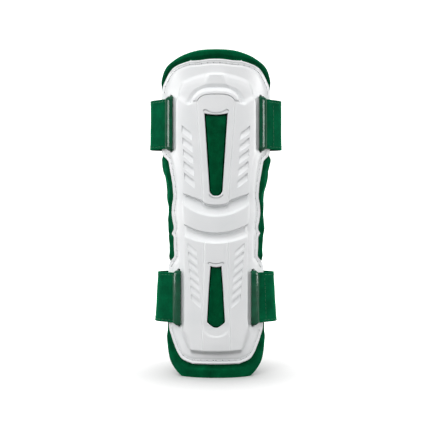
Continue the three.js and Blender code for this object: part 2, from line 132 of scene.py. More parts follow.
ELBOW_SECTIONS = [
    (0.426, 0.403, 0.8, 0.8, 0.58, 0.3, 0.3, 2, 0),
    (0.436, 0.412, 0.735, 0.77, 0.58, 0.12, 0.12, 2.2, 0),
    (0.455, 0.427, 0.727, 0.79, 0.58, 0.02, 0.02, 2.2, 0),
    (0.458, 0.43, 0.745, 0.8, 0.58, 0.84, 0.84, 2.4, 0),
    (0.494, 0.459, 0.776, 0.82, 0.59, 0.86, 0.86, 2.4, 0),
    (0.524, 0.485, 0.765, 0.83, 0.61, 0.84, 0.84, 2.2, 0),
    (0.529, 0.49, 0.76, 0.83, 0.61, 0.52, 0.52, 2.2, 0),
    (0.541, 0.503, 0.742, 0.83, 0.62, 0.3, 0.3, 2, 0.4),
    (0.557, 0.517, 0.738, 0.83, 0.63, 0.04, 0.04, 1.8, 1),
]
UPPER_SECTIONS = [
    (0.56, 0.52, 0.742, 0.83, 0.64, 0.83, 1, 1.6, 1),
    (0.594, 0.575, 0.76, 0.84, 0.68, 0.83, 1, 1.6, 0.6),
    (0.63, 0.625, 0.8, 0.87, 0.72, 0.83, 1, 1.6, 0),
    (0.67, 0.67, 0.845, 0.93, 0.77, 0.83, 1, 1.6, 0),
    (0.692, 0.692, 1, 1, 0.8, 0.83, 1, 1.6, 0),
    (0.785, 0.785, 1, 1, 0.92, 0.83, 1, 1.6, 0),
    (0.86, 0.86, 1, 1, 1, 0.83, 1, 1.8, 0),
    (0.871, 0.872, 1, 0.98, 1, 0.83, 1, 2.2, 0),
    (0.883, 0.886, 1, 0.96, 1, 0.8, 1, 2.8, 0),
    (0.893, 0.903, 1, 0.94, 1, 0.8, 1, 3.2, 0),
    (0.907, 0.925, 0.998, 0.91, 1, 0.7, 1, 3.6, 0),
    (0.92, 0.94, 0.98, 0.87, 1, 0.5, 1, 3.6, 0),
    (0.933, 0.954, 0.94, 0.84, 1, 0, 0, 3, 0),
    (0.947, 0.965, 0.89, 0.8, 0.9, 0, 0, 2, 0),
    (0.963, 0.976, 0.83, 0.74, 0.8, 0, 0, 1.6, 0),
    (0.979, 0.987, 0.745, 0.64, 0.7, 0, 0, 1.6, 0),
    (0.99, 0.996, 0.6, 0.52, 0.6, 0, 0, 1.6, 0),
    (0.996, 1, 0.43, 0.42, 0.5, 0, 0, 1.6, 0),
]

# Windows: share of the shell's length, share of the window's half width, sag of the row's
# middle as a share of the half width
UPPER_WINDOW_ROWS = [
    (0.551, 0.16, 0), (0.5525, 0.27, 0), (0.555, 0.37, 0), (0.5585, 0.46, 0), (0.563, 0.525, 0),
    (0.57, 0.565, 0), (0.69, 0.77, 0), (0.819, 1, 0.14),
]
LOWER_WINDOW_ROWS = [
    (0.122, 0.14, 0), (0.1245, 0.32, 0), (0.128, 0.52, 0), (0.1325, 0.74, 0), (0.14, 1, 0),
    (0.235, 0.82, 0), (0.323, 0.61, 0.14),
]

WINDOWS = {"upper": (UPPER_WINDOW_ROWS, UPPER_WINDOW), "lower": (LOWER_WINDOW_ROWS, LOWER_WINDOW)}

# The panel's crown and the foot of the plate's top ramp, as (u, z) from the centre outwards
PANEL_CROWN = [(0, 247.3), (6, 247.2), (9.1, 246.6), (11.7, 245.4), (13.6, 243.7), (15, 241.1)]
PLATE_CREST = [(15, 241.4), (22.6, 239), (31, 244.3), (40, 244.3)]
# Height over the flange's back at each distance out from the panel's crown
ARCH_PROFILE = [(0, 8.4), (2.6, 8.35), (3.1, 8), (5.8, 3.9), (6.3, 3.2), (6.7, 3.1), (9.1, 5.3)]


def bend(u, z, h):
    angle = u / BEND_RADIUS
    radius = BEND_RADIUS + h
    x = radius * math.sin(angle)
    y = BEND_RADIUS - radius * math.cos(angle) + bend_shift
    return Vector((x, y, z)) * MM


def unbend(place):
    x = place.x / MM
    back = BEND_RADIUS + bend_shift - place.y / MM
    return BEND_RADIUS * math.atan2(x, back), place.z / MM, math.hypot(x, back) - BEND_RADIUS


def shell_height(share):
    return shell_foot + share * shell_length


def blend(start, end, share):
    return start + (end - start) * share


def ease(value, low, high):
    share = min(1, max(0, (value - low) / (high - low)))
    return share * share * (3 - 2 * share)


def read_off(table, at):
    """The value of a table of (place, value) pairs at a place, straight between its rows."""
    if at <= table[0][0]:
        return table[0][1]
    if at >= table[-1][0]:
        return table[-1][1]
    index = bisect.bisect_right(table, at, key=lambda row: row[0])
    (low, first), (high, second) = table[index - 1: index + 1]
    return blend(first, second, (at - low) / (high - low))


def deselect_all():
    if bpy.context.object and bpy.context.object.mode != "OBJECT":
        bpy.ops.object.mode_set(mode="OBJECT")
    bpy.ops.object.select_all(action="DESELECT")


def pick(piece):
    deselect_all()
    piece.select_set(True)
    bpy.context.view_layer.objects.active = piece


def apply_modifier(piece, kind, **settings):
    pick(piece)
    modifier = piece.modifiers.new(kind.title(), kind)
    for name, value in settings.items():
        setattr(modifier, name, value)
    bpy.ops.object.modifier_apply(modifier=modifier.name)


def face_out(piece, weld=False, close_ends=False):
    pick(piece)
    bpy.ops.object.mode_set(mode="EDIT")
    bpy.ops.mesh.select_all(action="SELECT")
    if weld:
        bpy.ops.mesh.remove_doubles(threshold=0.00001)
    if close_ends:
        bpy.ops.mesh.select_all(action="DESELECT")
        bpy.ops.mesh.select_non_manifold()
        bpy.ops.mesh.edge_face_add()
        bpy.ops.mesh.select_all(action="SELECT")
    bpy.ops.mesh.normals_make_consistent(inside=False)
    bpy.ops.object.mode_set(mode="OBJECT")


def round_edges(piece, width, segments, sharper_than):
    """Bevels the edges that turn by more than that many degrees."""
    limit = {"limit_method": "ANGLE", "angle_limit": math.radians(sharper_than)}
    apply_modifier(piece, "BEVEL", width=width * MM, segments=segments, **limit)


def join(name, pieces):
    deselect_all()
    for piece in pieces:
        piece.select_set(True)
    bpy.context.view_layer.objects.active = pieces[0]
    bpy.ops.object.join()
    pieces[0].name = name
    pieces[0].data.name = name
    return pieces[0]


def new_sheet(name, columns, rows, place):
    """A grid primitive whose corners go where place(column, row) says."""
    deselect_all()
    bpy.ops.mesh.primitive_grid_add(x_subdivisions=columns, y_subdivisions=rows, size=1)
    sheet = bpy.context.object
    sheet.name = name
    sheet.data.name = name
    for vertex in sheet.data.vertices:
        row, column = divmod(vertex.index, columns + 1)
        vertex.co = place(column, row)
    return sheet


def new_block(outline, levels):
    """A solid that follows a flat outline. levels are (height or each corner's height, growth),
    and they may end with how far each corner moves down the guard."""
    deselect_all()
    count = len(outline)
    bpy.ops.mesh.primitive_circle_add(vertices=count, fill_type="NGON", radius=1)
    block = bpy.context.object
    for _ in levels[1:]:
        bpy.ops.object.mode_set(mode="EDIT")
        bpy.ops.mesh.extrude_region_move(TRANSFORM_OT_translate={"value": (0, 0, 1)})
        bpy.ops.object.mode_set(mode="OBJECT")
    middle_u = sum(u for u, _ in outline) / count
    middle_z = sum(z for _, z in outline) / count
    rings = {}
    for vertex in block.data.vertices:
        rings.setdefault(round(vertex.co.z), []).append(vertex)
    for (heights, growth, *drop), (_, ring) in zip(levels, sorted(rings.items())):
        ring.sort(key=lambda vertex: -math.atan2(vertex.co.x, vertex.co.y) % math.tau)
        drops = drop[0] if drop else [0] * count
        heights = heights if isinstance(heights, list) else [heights] * count
        for vertex, (u, z), height, down in zip(ring, outline, heights, drops):
            away = Vector((u - middle_u, z - middle_z)).normalized() * growth
            vertex.co = bend(u + away.x, z + away.y - down, height)
    face_out(block)
    return block


def new_rods(name, paths, radius, sides=3):
    """Round rods along lines of points in metres, with closed ends, as one mesh."""
    curve = bpy.data.curves.new(name, "CURVE")
    curve.dimensions = "3D"
    curve.bevel_depth = radius * MM
    curve.bevel_resolution = sides
    curve.use_fill_caps = True
    for path in paths:
        spline = curve.splines.new("POLY")
        spline.points.add(len(path) - 1)
        for point, place in zip(spline.points, path):
            point.co = (*place, 1)
    rods = bpy.data.objects.new(name, curve)
    bpy.context.collection.objects.link(rods)
    pick(rods)
    bpy.ops.object.convert(target="MESH")
    return bpy.context.object


def copy_turned_left(piece):
    """A mirrored copy on the left side, with its faces turned out again."""
    twin = piece.copy()
    twin.data = piece.data.copy()
    bpy.context.collection.objects.link(twin)
    for vertex in twin.data.vertices:
        vertex.co.x = -vertex.co.x
    twin.data.flip_normals()
    return twin


# Shell

def fine_rows():
    """The shell's sections in mm, with close rows between them."""
    coarse = []
    groups = (
        (LOWER_SECTIONS, LOWER_WING, LOWER_PLATE),
        (ELBOW_SECTIONS, UPPER_WING, UPPER_PLATE),
        (UPPER_SECTIONS, UPPER_WING, UPPER_PLATE),
    )
    for sections, wing, plate in groups:
        for values in sections:
            row = dict(zip(SECTION, values))
            row["edge"] *= wing
            row["plate"] = min(row["plate"] * plate, row["edge"] - 1.2 - row["run"])
            row["plate"] -= max(0, row["run"] - PLATE_WALL_RUN) / 2
            row["panel"] *= PANEL_HALF_WIDTH
            row["side"] = shell_height(row["side"])
            row["mid"] = shell_height(row["mid"])
            coarse.append(row)
    spacing = 0.75
    rows = []
    for row, following in zip(coarse, coarse[1:]):
        climb = max(following["mid"] - row["mid"], following["side"] - row["side"])
        count = max(1, round(climb / spacing))
        for step in range(count):
            share = step / count
            rows.append({key: blend(row[key], following[key], share) for key in SECTION})
    rows.append(coarse[-1])
    for key, rounds in (("edge", 6), ("plate", 4), ("panel", 3), ("rise", 1), ("crest", 1), ("run", 4)):
        for _ in range(rounds):
            values = [row[key] for row in rows]
            for index in range(1, len(rows) - 1):
                before, here, after = values[index - 1: index + 2]
                rows[index][key] = (before + 2 * here + after) / 4
    return rows


def row_height(row, u):
    """Height up the guard of a place in a section's row."""
    panel = row["panel"]
    to_side = min(1, abs(u) / row["plate"])
    arc = to_side ** 2
    round_tab = 0.2 * min(1, abs(u) / panel) ** 2.6
    step = 0.14 * ease(abs(u), panel, panel + PANEL_WALL_RUN)
    stepped = round_tab + step + 0.66 * max(0, (abs(u) - panel) / (row["plate"] - panel))
    share = blend(arc, min(1, stepped), row["tab"])
    return blend(row["mid"], row["side"], share)


def columns_across(row):
    """Where the shell's lengthwise lines cross a row, from its centre to its edge."""
    panel, plate, edge = row["panel"], row["plate"], row["edge"]
    soft = 0.5
    stops = [
        (0, panel - soft, 10),
        (panel - soft, panel + 1.3, 6),
        (panel + 1.3, panel + PANEL_WALL_RUN + soft, 3),
        (panel + PANEL_WALL_RUN + soft, plate - soft, 13),
        (plate - soft, plate + row["run"] + soft, 6),
        (plate + row["run"] + soft, edge - 1, 9),
        (edge - 1, edge, 4),
    ]
    places = [0]
    for start, end, count in stops:
        places.extend(blend(start, end, (step + 1) / count) for step in range(count))
    return places


def nearest_in(points):
    """A function that gives the distance from a flat place to a line of points."""
    tree = kdtree.KDTree(len(points))
    for index, (u, z) in enumerate(points):
        tree.insert((u, z, 0), index)
    tree.balance()
    return lambda u, z: tree.find((u, z, 0))[2]


def dense(line, spacing=0.15):
    points = []
    for (u, z), (next_u, next_z) in zip(line, line[1:]):
        count = max(1, math.ceil(math.hypot(next_u - u, next_z - z) / spacing))
        points.extend((blend(u, next_u, i / count), blend(z, next_z, i / count)) for i in range(count))
    return points + [line[-1]]


def round_off(line, rounds=3):
    """Cuts the corners of an open line again and again. Its ends stay in place."""
    for _ in range(rounds):
        cut = [line[0]]
        for (u, z), (next_u, next_z) in zip(line, line[1:]):
            cut += [(blend(u, next_u, share), blend(z, next_z, share)) for share in (0.25, 0.75)]
        line = cut + [line[-1]]
    return line


shell_rows = fine_rows()


def shell_outline():
    """The shell's edge as a closed line, from the middle of its foot round to the right."""
    first, last = shell_rows[0], shell_rows[-1]
    foot = [(first["edge"] * i / 8, row_height(first, first["edge"] * i / 8)) for i in range(8)]
    side = [(row["edge"], row_height(row, row["edge"])) for row in shell_rows]
    crown = [(last["edge"] * i / 8, row_height(last, last["edge"] * i / 8)) for i in range(7, -1, -1)]
    right = foot + side + crown
    return right + [(-u, z) for u, z in reversed(right)]


edge_line = shell_outline()
side_line = [(row_height(row, row["edge"]), row["edge"]) for row in shell_rows]


def behind_shell(u, z):
    if z > side_line[-1][0]:
        return z < row_height(shell_rows[-1], u) and abs(u) < side_line[-1][1]
    return z > shell_foot and abs(u) < read_off(side_line, z)


to_edge = nearest_in(dense(edge_line))
crown_half = PANEL_CROWN + [(15, 236)]
crown_line = [(-u, z) for u, z in reversed(crown_half)] + crown_half[1:]
to_crown = nearest_in(dense(crown_line))


def shell_surface(row, u, z):
    """Height of the shell's outer face over the flange's back."""
    side = abs(u)
    crest_line = read_off(PLATE_CREST, side)
    on_cap = ease(z, crest_line - 1.4, crest_line + 4.4) if z > CAP_FOOT else 0
    plate = SHELL_WALL + PANEL_RISE * row["rise"] * (1 - CAP_DROP * on_cap)
    panel = SHELL_WALL + PANEL_RISE * row["crest"]
    height = plate
    crown_z = read_off(PANEL_CROWN, side)
    if z < crown_z:
        height = blend(panel, plate, wall_share(side, row["panel"], PANEL_WALL_RUN))
        stands_out = ease(row["crest"] - row["rise"], 0.05, 0.15)
        from_line = (side - row["panel"] - PANEL_LINE["away"]) / PANEL_LINE["width"]
        height -= PANEL_LINE["depth"] * stands_out * math.exp(-from_line ** 2)
    if z > ARCH_FOOT:
        away = to_crown(u, z)
        outside = side > CROWN_HALF_WIDTH or z > crown_z
        if outside and away < ARCH_PROFILE[-1][0]:
            over = 1 if side < CROWN_HALF_WIDTH else ease(z, crest_line - 0.2, crest_line + 1.6)
            height = blend(height, read_off(ARCH_PROFILE, away), over)
    height = tongue(side, z, height) - foot_recess(side, z)
    height = blend(height, SHELL_WALL, wall_share(side, row["plate"], row["run"]))
    inward = to_edge(u, z)
    height -= HEM_GROOVE * ease(inward, 1.3, 2) * (1 - ease(inward, 4.4, 5.4))
    roll = 1 - min(1, inward)
    return height - EDGE_ROLL * (1 - math.sqrt(1 - roll ** 2))


def wall_share(side, start, run):
    """How far down a wall a place is: 0 before it and 1 past it, with a short ease at each end."""
    return ease(side, start - 0.2, start + run + 0.2)


def tongue(side, z, height):
    """The flat tongue in the middle of the cap."""
    low, high = 256.5, 264.6
    half = blend(8.6, 5.6, min(1, max(0, (z - low) / (high - low))))
    inside = 1 - ease(side, half, half + 1.8)
    inside *= ease(z, low - 1, low) * (1 - ease(z, high, high + 1.6))
    return max(height, blend(height, TONGUE_TOP, inside))


def foot_recess(side, z):
    """A shallow hollow around the foot of the lower window, with a half-round lower edge."""
    depth, half_width, fall, spring, end = 0.6, 10.4, 8.3, 45, 52
    reach = math.hypot(side / half_width, max(0, spring - z) / fall)
    return depth * (1 - ease(reach, 0.93, 1.02)) * (1 - ease(z, spring, end))


def mould_shell():
    places = [columns_across(row) for row in shell_rows]
    half = len(places[0]) - 1

    def place(column, index):
        row = shell_rows[index]
        share = places[index][abs(column - half)]
        u = share if column > half else -share
        z = row_height(row, u)
        return bend(u, z, shell_surface(row, u, z))

    shell = new_sheet("moulded_shell", 2 * half, len(shell_rows) - 1, place)
    apply_modifier(shell, "SOLIDIFY", thickness=(SHELL_WALL - 0.15) * MM, offset=-1)
    cutters = [window_cutter(*window) for window in WINDOWS.values()]
    right = [slot_cutter(name) for name in STRAPS] + rib_cutters()
    cutters += right + [copy_turned_left(cutter) for cutter in right]
    cutters += slit_cutters() + needle_holes()
    tool = join("shell_tool", cutters)
    apply_modifier(shell, "BOOLEAN", object=tool, operation="DIFFERENCE", solver="EXACT")
    bpy.data.objects.remove(tool, do_unlink=True)
    pick(shell)
    bpy.ops.object.shade_smooth_by_angle(angle=math.radians(38))
    return shell


def window_outline(rows, half_width, shrink=0):
    right = []
    for index, (at, half, _) in enumerate(rows):
        lift = shrink if index == 0 else -shrink if index == len(rows) - 1 else 0
        right.append((max(0.4, half * half_width - shrink), shell_height(at) + lift))
    sag = rows[-1][2]
    top_half, top = right[-1]
    shares = [0.75, 0.5, 0.25, 0]
    top_line = [(top_half * share, top - sag * half_width * (1 - share ** 2)) for share in shares]
    half_line = right + top_line
    return half_line + [(-u, z) for u, z in reversed(half_line[:-1])]


def window_cutter(rows, half_width):
    levels = [(-2, 0), (PANEL_TOP - 0.5, 0), (PANEL_TOP + 0.3, 0.7), (PANEL_TOP + 3, 0.7)]
    return new_block(window_outline(rows, half_width), levels)


def slot_cutter(name):
    mid = STRAPS[name]["slot"]
    low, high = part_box(f"{name}_right_bar")
    half = STRAP_THICKNESS / 2 + 0.7
    bottom, top = low.z / MM - BAR_TO_SLOT_END, high.z / MM + BAR_TO_SLOT_END
    round_end = [(math.cos(math.pi * i / 6) * half, math.sin(math.pi * i / 6) * half) for i in range(7)]
    outline = [(mid + u, top - half + z) for u, z in round_end]
    outline += [(mid - u, bottom + half - z) for u, z in round_end]
    return new_block(outline, [(-2, 0), (SHELL_WALL - 0.6, 0), (SHELL_WALL + 0.4, 0.8)])


# Pressed ribs. depths: of a rib's floor at its upper and its lower edge. bevel: below the last.
RIBS = (
    {"count": 5, "pitch": 10.4, "height": 5.6, "outer": UPPER_PLATE - 5.2, "top": 0.782, "drift": 0.55,
     "width": 8.4, "depths": (1.4, 0.6), "bevel": 0.6},
    {"count": 7, "pitch": 7.4, "height": 4.2, "outer": LOWER_PLATE - 2.9, "top": 0.397, "drift": 0.5,
     "width": 7.6, "depths": (0.9, 0.1), "bevel": 0.2},
)
LAST_LOWER_RIB = {"depths": (0.9, 0.55), "bevel": 1}
RIB_FALL = 7


def rib_cutters():
    """Pockets with a steep upper wall, a floor that climbs to their lower edge, and a bevel."""
    cutters = []
    for ribs in RIBS:
        for index in range(ribs["count"]):
            last = ribs is RIBS[1] and index == ribs["count"] - 1
            form = LAST_LOWER_RIB if last else ribs
            outer = ribs["outer"] - index * ribs["drift"]
            inner = outer - ribs["width"]
            top = shell_height(ribs["top"]) - index * ribs["pitch"]
            outline = [
                (outer, top), (inner, top - RIB_FALL),
                (inner, top - ribs["height"] - RIB_FALL), (outer, top - ribs["height"]),
            ]
            deep, shallow = (PLATE_TOP - depth for depth in form["depths"])
            lowered = [0, 0, form["bevel"], form["bevel"]]
            levels = [
                ([deep, deep, shallow, shallow], 0),
                (PLATE_TOP, 0.2, lowered),
                (PLATE_TOP + 0.4, 0.4, [1.3 * down for down in lowered]),
            ]
            cutters.append(new_block(outline, levels))
    return cutters


def slit_cutters():
    """Fine moulded lines: over and under the windows, and round the panel's crown."""
    smile = [(-9.7, 232.2), (-9.2, 233.7), (-8.3, 234.1), (-7.2, 233.4), (-5, 232), (-2.5, 231.2), (0, 230.9)]
    small_smile = [(-5.9, 100.2), (-5.5, 101.3), (-4.9, 101.6), (-4.1, 101.1), (-2, 100.5), (0, 100.2)]
    chin = [(-5.4, 160.4), (-4.6, 159), (-3.2, 157.9), (-1.6, 157.3), (0, 157.1)]
    crown = [(-u, z) for u, z in reversed(PANEL_CROWN)]
    cutters = []
    for half, width in ((smile, 0.9), (small_smile, 0.7), (chin, 0.7), (crown, 0.75)):
        line = half + [(-u, z) for u, z in reversed(half[:-1])]
        outline = ribbon(round_off(line, 1), width)
        cutters.append(new_block(outline, [(PANEL_TOP - 2, 0), (PANEL_TOP + 1.5, 0)]))
    return cutters


def ribbon(line, width):
    """The outline of a band along a flat line, turned the way that new_block goes round."""
    left, right = [], []
    for index, (u, z) in enumerate(line):
        before = Vector(line[max(index - 1, 0)])
        after = Vector(line[min(index + 1, len(line) - 1)])
        along = (after - before).normalized() * width / 2
        left.append((u - along.y, z + along.x))
        right.append((u + along.y, z - along.x))
    return right + left[::-1]


def stitch_places():
    """Needle holes along the flange, in runs that leave out the straps' stretches."""
    offset = []
    for index, (u, z) in enumerate(edge_line):
        before = Vector(edge_line[index - 1])
        after = Vector(edge_line[(index + 1) % len(edge_line)])
        along = (after - before).normalized()
        offset.append((u - along.y * STITCH_INSET, z + along.x * STITCH_INSET))
    line = [p for p in dense(offset + offset[:1], 0.3) if to_edge(*p) > STITCH_INSET - 0.25]
    boxes = [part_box(f"{name}_strap") for name in STRAPS]
    hidden = [(low.z / MM - STITCH_STOP, high.z / MM + STITCH_STOP) for low, high in boxes]
    runs, run, travelled, last = [], [], 0, line[0]
    for u, z in line:
        travelled += math.hypot(u - last[0], z - last[1])
        last = (u, z)
        if any(low < z < high for low, high in hidden):
            if len(run) > 1:
                runs.append(run)
            run = []
        elif not run or travelled >= STITCH_PITCH:
            run.append((u, z))
            travelled = 0
    if len(run) > 1:
        runs.append(run)
    return runs


def needle_holes():
    holes = [(u, z) for run in stitch_places() for u, z in run]
    paths = [[bend(u, z, -1), bend(u, z, SHELL_WALL + 1)] for u, z in holes]
    return [new_rods("holes", paths, 0.65, 1)]


def flange_stitches():
    """One thread for each run, which dips into every needle hole."""
    paths = []
    for run in stitch_places():
        path = [bend(*run[0], 0.6)]
        for (u, z), (next_u, next_z) in zip(run, run[1:]):
            for share, height in ((0.06, 1.2), (0.16, 1.85), (0.5, 1.98), (0.84, 1.85), (0.94, 1.2)):
                path.append(bend(blend(u, next_u, share), blend(z, next_z, share), height))
            path.append(bend(next_u, next_z, 0.6))
        paths.append(path)
    stitches = new_rods("flange_stitching", paths, 0.22, 2)
    bpy.ops.object.shade_smooth()
    return stitches


# Padded pieces

def swell(piece, pressure, most):
    """Swells a piece like foam under its cover: cloth under pressure, with its travel capped."""
    start = [vertex.co.copy() for vertex in piece.data.vertices]
    cloth = piece.modifiers.new("Cloth", "CLOTH")
    cloth.settings.use_pressure = True
    cloth.settings.uniform_pressure_force = pressure
    cloth.settings.effector_weights.gravity = 0
    cloth.settings.quality = 4
    cloth.point_cache.frame_end = SWELL_FRAMES
    for number in range(1, SWELL_FRAMES + 1):
        bpy.context.scene.frame_set(number)
    pick(piece)
    bpy.ops.object.modifier_apply(modifier=cloth.name)
    bpy.context.scene.frame_set(1)
    for vertex, before in zip(piece.data.vertices, start):
        travel = vertex.co - before
        if travel.length > most * MM:
            vertex.co = before + travel.normalized() * most * MM


def spaced(line, count):
    """Points at even distances along an open line, with both of its ends."""
    lengths = [0]
    for start, end in zip(line, line[1:]):
        lengths.append(lengths[-1] + math.dist(start, end))
    across = [(length, u) for length, (u, _) in zip(lengths, line)]
    up = [(length, z) for length, (_, z) in zip(lengths, line)]
    steps = [lengths[-1] * step / count for step in range(count + 1)]
    return [(read_off(across, distance), read_off(up, distance)) for distance in steps]


def pad_loop(columns):
    """The pad's edge as a smooth closed line, from the middle of its foot round to the right."""
    corners = [(half * PAD_HALF_WIDTH, at * guard_length) for at, half in PAD_OUTLINE]
    right = spaced(round_off([(0, 0)] + corners + [(0, guard_length)]), columns // 2)
    return right + [(-u, z) for u, z in reversed(right[:-1])]


PAD_MIDDLE = -CLEARANCE - PAD_THICKNESS / 2
PAD_SPINE = (32, 252)  # stretch up the pad's middle that its rings close in on


def stuff_pad():
    """The foam pad: rings from its face over a rolled rim to its back, swelled like foam."""
    columns = 320
    loop = pad_loop(columns)
    slack, border = 1, 9
    front_roll, back_roll, bulge = 3, 5, 0.5
    inside = [(border, share, 1) for share in (1, 0.86, 0.72, 0.58, 0.45, 0.33, 0.22, 0.11)]
    inside += [(distance, 0, 1) for distance in (border, 7.6, 6.4, 5.4)]
    rim = [(4.2, 0, 1)]
    for step in range(15):
        angle = math.pi * (0.5 - step / 14)
        roll, rise = (front_roll, 1 - bulge) if angle > 0 else (back_roll, 1 + bulge)
        rim.append((roll * (1 - math.cos(angle)), 0, bulge + rise * math.sin(angle)))
    # Rings: distance in from the edge, share of the rest of the way to the spine, height share
    rings = inside + rim + [(distance, share, -1) for distance, share, _ in reversed(inside)]

    def place(column, row):
        distance, share, height = rings[row]
        edge = Vector(loop[column])
        spine = Vector((0, max(PAD_SPINE[0], min(PAD_SPINE[1], edge.y))))
        spot = (edge + (spine - edge).normalized() * distance).lerp(spine, share)
        return bend(spot.x, spot.y, PAD_MIDDLE + height * (PAD_THICKNESS / 2 - slack))

    pad = new_sheet("foam_pad", columns, len(rings) - 1, place)
    face_out(pad, weld=True)
    cut = [unbend(vertex.co) for vertex in pad.data.vertices]
    swell(pad, 4, slack + 0.6)
    for vertex, (u, z, _) in zip(pad.data.vertices, cut):
        vertex.co = bend(u, z, unbend(vertex.co)[2])
    apply_modifier(pad, "SUBSURF", levels=1, render_levels=1)
    fit_pad(pad, nearest_in(dense(loop)))
    pick(pad)
    bpy.ops.object.shade_smooth()
    return pad


def fit_pad(pad, to_rim):
    """Flattens the pad behind the shell and swells it beside it, with folds at its waist."""
    proud, fold_height, ripple_height, waist_middle = 1.9, 3.2, 0.8, 150
    for vertex in pad.data.vertices:
        u, z, h = unbend(vertex.co)
        if behind_shell(u, z):
            h = min(h, -CLEARANCE)
        else:
            from_shell = to_edge(u, z)
            strip = ease(from_shell + to_rim(u, z), 2.5, 5)
            face = max(0, min(1, (h - PAD_MIDDLE) / (PAD_THICKNESS / 2)))
            lift = proud * strip * ease(from_shell, 0.3, 3)
            waist = ease(abs(u), 30, 38) * (1 - ease(abs(z - waist_middle), 50, 85))
            slant = z * 0.075 - abs(u) * 0.05
            fold = noise.noise(Vector((slant, math.copysign(3, u), 5)))
            ripple = noise.noise(Vector((u * 0.12 + 9, z * 0.2, 2)))
            h = min(h + lift * face, lift - CLEARANCE)
            h += waist * face * ease(from_shell, 0.3, 3) * (fold_height * fold + ripple_height * ripple)
            away = Vector((u, z - max(PAD_SPINE[0], min(PAD_SPINE[1], z)))).normalized()
            # How far the cover bulges out past the rim: less at the foot, most under the waist
            reach = 2 + 1.4 * ease(z, 2, 16) - ease(z, 30, 80) - ease(z, 190, 260)
            reach += 2 * ease(z, 75, 100) * (1 - ease(z, 130, 155))
            beside = ease(from_shell + to_rim(u, z), 0.2, 2)
            spill = beside * ease(face, -0.3, 0.4) * (reach + 0.4 * waist * fold)
            u += away.x * spill
            z += away.y * spill
        z += 0.5 * (1 - ease(abs(u), 3, 21)) * (1 - ease(z, 0, 6))
        vertex.co = bend(u, max(0, z), h)


def stuff_inlay(name, rows, half_width):
    outline = window_outline(rows, half_width, CLEARANCE + 0.5)
    inlay = new_block(outline, [(0.7, 0), (PANEL_TOP - 1.9, 0)])
    inlay.name = name
    inlay.data.name = name
    apply_modifier(inlay, "REMESH", mode="VOXEL", voxel_size=1.6 * MM)
    swell(inlay, 2.5, 0.7)
    apply_modifier(inlay, "SUBSURF", levels=1, render_levels=1)
    pick(inlay)
    bpy.ops.object.shade_smooth()
    for vertex in inlay.data.vertices:
        u, z, h = unbend(vertex.co)
        limit = half_width * read_off([(shell_height(at), half) for at, half, _ in rows], z) - CLEARANCE
        u = max(-limit, min(limit, u))
        vertex.co = bend(u, z, max(0.2, h))
    return inlay


# Bars

def form_bar(name, strap, side):
    """A glossy bar: a chamfered block with feet at its ends, which stand on the flange."""
    low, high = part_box(name)
    start, end = low.z / MM, high.z / MM
    mid = side * STRAPS[strap]["slot"]
    seat = SHELL_WALL + CLEARANCE
    bridge = seat + STRAP_THICKNESS + CLEARANCE
    # Along the bar: distance from its end, width share, underside, share of BAR_HEIGHT
    half = [
        (0, 0.5, seat, 0.45), (0.5, 0.66, seat, 0.62), (1.3, 0.85, seat, 0.8), (1.65, 0.9, seat, 0.87),
        (1.7, 0.91, bridge, 0.88), (2.6, 0.96, bridge, 0.94), (4, 1, bridge, 1),
    ]
    length = end - start
    sections = [(start + along, *rest) for along, *rest in half]
    sections += [(start + length * share, *half[-1][1:]) for share in (0.25, 0.5, 0.75)]
    sections += [(end - along, *rest) for along, *rest in reversed(half)]
    # Round the bar: share of the half width, share of the height from underside to top
    ring = [
        (-0.8, 0), (-1, 0.12), (-1, 0.55), (-0.92, 0.72), (-0.62, 0.95), (-0.45, 1),
        (0.45, 1), (0.62, 0.95), (0.92, 0.72), (1, 0.55), (1, 0.12), (0.8, 0),
    ]

    def place(column, row):
        z, width, under, tall = sections[row]
        across, up = ring[column % len(ring)]
        height = blend(under, seat + tall * BAR_HEIGHT, up)
        return bend(mid + across * width * BAR_WIDTH / 2, z, height)

    bar = new_sheet(f"glossy_{name}", len(ring), len(sections) - 1, place)
    face_out(bar, weld=True, close_ends=True)
    round_edges(bar, 0.28, 2, 25)
    pick(bar)
    bpy.ops.object.shade_smooth_by_angle(angle=math.radians(40))
    return bar


# Straps

def strap_line(name, reach):
    """Half of a strap's middle line seen from above, from its slot to the middle of its back."""
    slot, turn = STRAPS[name]["slot"], STRAPS[name]["turn"]
    lie = SHELL_WALL + CLEARANCE + STRAP_THICKNESS / 2

    def flat(u, h):
        place = bend(u, 0, h) / MM
        return Vector((place.x, place.y))

    leave = slot + BAR_WIDTH / 2 + CLEARANCE
    line = [flat(slot, 0), flat(slot, 0.8), flat(slot, lie - 1.3), flat(slot + 0.15, lie - 0.8)]
    line += [flat(slot + 0.5, lie - 0.35), flat(slot + 0.95, lie - 0.1), flat(slot + 1.5, lie)]
    line += [flat(blend(slot + 1.5, leave, share), lie) for share in (0.25, 0.5, 0.75, 1)]
    slope = leave / BEND_RADIUS
    radius = turn - STRAP_THICKNESS / 2
    start = line[-1].copy()
    centre = Vector((reach - turn, 0))
    touch_x = centre.x + radius * math.sin(slope)
    touch_y = start.y + (touch_x - start.x) * math.tan(slope)
    centre.y = touch_y + radius * math.cos(slope)
    line += [start.lerp(Vector((touch_x, touch_y)), share) for share in (0.2, 0.4, 0.6, 0.8)]
    for step in range(25):
        angle = slope - math.pi / 2 + (math.pi - slope) * step / 24
        line.append(centre + Vector((math.cos(angle), math.sin(angle))) * radius)
    for step in range(1, 25):
        share = 1 - step / 24
        line.append(Vector((centre.x * share, centre.y + radius + STRAP_BOW * (1 - share ** 2))))
    return line


def whole_strap_line(name, reach):
    right = strap_line(name, reach)
    return [Vector((-p.x, p.y)) for p in right[:-1]] + right[::-1]


